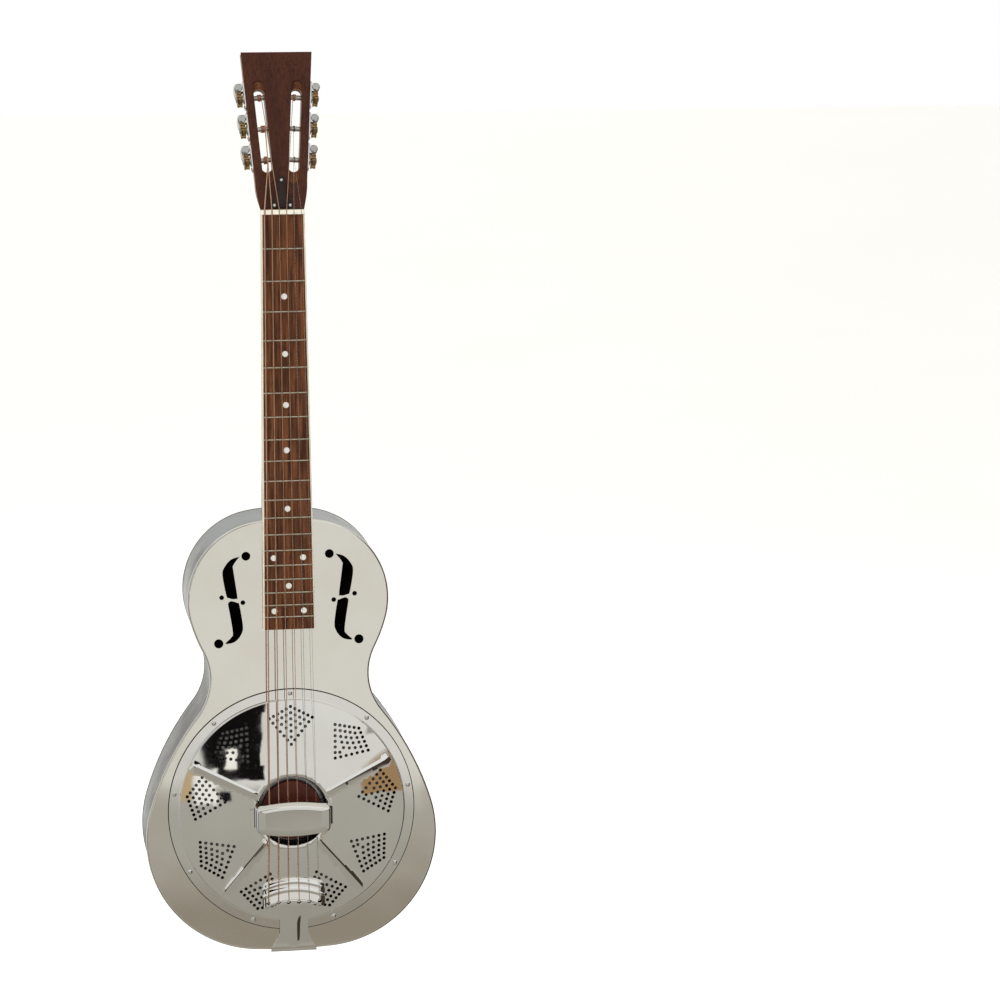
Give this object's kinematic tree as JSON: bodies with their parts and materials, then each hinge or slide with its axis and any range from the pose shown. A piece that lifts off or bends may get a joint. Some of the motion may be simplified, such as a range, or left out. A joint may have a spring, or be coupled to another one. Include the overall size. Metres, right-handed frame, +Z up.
{
  "type": "resonator guitar",
  "caption": "Metal-bodied resonator guitar: waisted body with arched back, domed perforated cover over a cone, slotted headstock with geared tuners.",
  "frame": {"origin": "outer face of the strap button, on the body's centre line and at its mid depth", "axes": "+Z up the neck, -Y towards the player's picking side (the front), +X the treble side"},
  "size_m": [0.3098, 0.1161, 0.9643],
  "materials": {
    "body_nickel": "mirror-polished nickel plate",
    "hardware_chrome": "mirror-polished chrome plate",
    "spun_aluminium": "fine spun rings",
    "stained_maple": "dark red-brown stain, satin",
    "maple": "bare, satin",
    "steel": "plated steel",
    "mahogany": "open grain, satin lacquer",
    "dark_veneer": "dark red-brown, satin lacquer",
    "rosewood": "straight grain, oiled",
    "bone": "off-white, satin",
    "black_plastic": "gloss",
    "brass": "satin",
    "wound_string": "bronze winding",
    "plain_string": "drawn wire"
  },
  "bodies": {
    "guitar": {"front_plate": "body_nickel", "side_band": "body_nickel", "back_plate": "body_nickel", "soundwell": "body_nickel", "resonator_cone": "spun_aluminium", "biscuit": "stained_maple", "biscuit_screw": "steel", "saddle": "maple", "coverplate": "hardware_chrome", "coverplate_screw_1": "hardware_chrome", "coverplate_screw_2": "hardware_chrome", "coverplate_screw_3": "hardware_chrome", "coverplate_screw_4": "hardware_chrome", "coverplate_screw_5": "hardware_chrome", "coverplate_screw_6": "hardware_chrome", "coverplate_screw_7": "hardware_chrome", "coverplate_screw_8": "hardware_chrome", "coverplate_screw_9": "hardware_chrome", "handrest": "hardware_chrome", "tailpiece": "hardware_chrome", "strap_button": "hardware_chrome", "neck_stick": "mahogany", "neck": "mahogany", "head_veneer": "dark_veneer", "fingerboard": "rosewood", "nut": "bone", "truss_rod": "steel", "truss_rod_cover": "black_plastic", "tuner_1_plate": "hardware_chrome", "tuner_2_plate": "hardware_chrome", "tuner_3_plate": "hardware_chrome", "tuner_4_plate": "hardware_chrome", "tuner_5_plate": "hardware_chrome", "tuner_6_plate": "hardware_chrome", "string_1": "wound_string", "string_2": "wound_string", "string_3": "wound_string", "string_4": "wound_string", "string_5": "plain_string", "string_6": "plain_string"},
    "tuner_1_button": {"tuner_1_button": "hardware_chrome"},
    "tuner_1_post": {"tuner_1_post": "steel", "tuner_1_gear": "brass"},
    "tuner_2_button": {"tuner_2_button": "hardware_chrome"},
    "tuner_2_post": {"tuner_2_post": "steel", "tuner_2_gear": "brass"},
    "tuner_3_button": {"tuner_3_button": "hardware_chrome"},
    "tuner_3_post": {"tuner_3_post": "steel", "tuner_3_gear": "brass"},
    "tuner_4_button": {"tuner_4_button": "hardware_chrome"},
    "tuner_4_post": {"tuner_4_post": "steel", "tuner_4_gear": "brass"},
    "tuner_5_button": {"tuner_5_button": "hardware_chrome"},
    "tuner_5_post": {"tuner_5_post": "steel", "tuner_5_gear": "brass"},
    "tuner_6_button": {"tuner_6_button": "hardware_chrome"},
    "tuner_6_post": {"tuner_6_post": "steel", "tuner_6_gear": "brass"}
  },
  "joints": [
    {"name": "tuner_1_button_turn", "type": "hinge", "parent": "guitar", "child": "tuner_1_button", "pos_m": [-0.03547, -0.02187, 0.86307], "axis": [0, -0.9659, 0.2588], "continuous": true},
    {"name": "tuner_1_post_turn", "type": "hinge", "parent": "guitar", "child": "tuner_1_post", "pos_m": [-0.03463, -0.02484, 0.85199], "axis": [-0.9973, -0.019, -0.0708], "continuous": true},
    {"name": "tuner_2_button_turn", "type": "hinge", "parent": "guitar", "child": "tuner_2_button", "pos_m": [-0.03789, -0.01338, 0.89475], "axis": [0, -0.9659, 0.2588], "continuous": true},
    {"name": "tuner_2_post_turn", "type": "hinge", "parent": "guitar", "child": "tuner_2_post", "pos_m": [-0.03704, -0.01635, 0.88367], "axis": [-0.9973, -0.019, -0.0708], "continuous": true},
    {"name": "tuner_3_button_turn", "type": "hinge", "parent": "guitar", "child": "tuner_3_button", "pos_m": [-0.04031, -0.00487, 0.92653], "axis": [0, -0.9659, 0.2588], "continuous": true},
    {"name": "tuner_3_post_turn", "type": "hinge", "parent": "guitar", "child": "tuner_3_post", "pos_m": [-0.03946, -0.00784, 0.91545], "axis": [-0.9973, -0.019, -0.0708], "continuous": true},
    {"name": "tuner_4_button_turn", "type": "hinge", "parent": "guitar", "child": "tuner_4_button", "pos_m": [0.04031, -0.00487, 0.92653], "axis": [0, -0.9659, 0.2588], "continuous": true},
    {"name": "tuner_4_post_turn", "type": "hinge", "parent": "guitar", "child": "tuner_4_post", "pos_m": [0.03946, -0.00784, 0.91545], "axis": [0.9973, -0.019, -0.0708], "continuous": true},
    {"name": "tuner_5_button_turn", "type": "hinge", "parent": "guitar", "child": "tuner_5_button", "pos_m": [0.03789, -0.01338, 0.89475], "axis": [0, -0.9659, 0.2588], "continuous": true},
    {"name": "tuner_5_post_turn", "type": "hinge", "parent": "guitar", "child": "tuner_5_post", "pos_m": [0.03704, -0.01635, 0.88367], "axis": [0.9973, -0.019, -0.0708], "continuous": true},
    {"name": "tuner_6_button_turn", "type": "hinge", "parent": "guitar", "child": "tuner_6_button", "pos_m": [0.03547, -0.02187, 0.86307], "axis": [0, -0.9659, 0.2588], "continuous": true},
    {"name": "tuner_6_post_turn", "type": "hinge", "parent": "guitar", "child": "tuner_6_post", "pos_m": [0.03463, -0.02484, 0.85199], "axis": [0.9973, -0.019, -0.0708], "continuous": true}
  ],
  "couplings": [
    {"joint": "tuner_1_post_turn", "follows": "tuner_1_button_turn", "ratio": -0.071429},
    {"joint": "tuner_2_post_turn", "follows": "tuner_2_button_turn", "ratio": -0.071429},
    {"joint": "tuner_3_post_turn", "follows": "tuner_3_button_turn", "ratio": -0.071429},
    {"joint": "tuner_4_post_turn", "follows": "tuner_4_button_turn", "ratio": -0.071429},
    {"joint": "tuner_5_post_turn", "follows": "tuner_5_button_turn", "ratio": -0.071429},
    {"joint": "tuner_6_post_turn", "follows": "tuner_6_button_turn", "ratio": -0.071429}
  ]
}
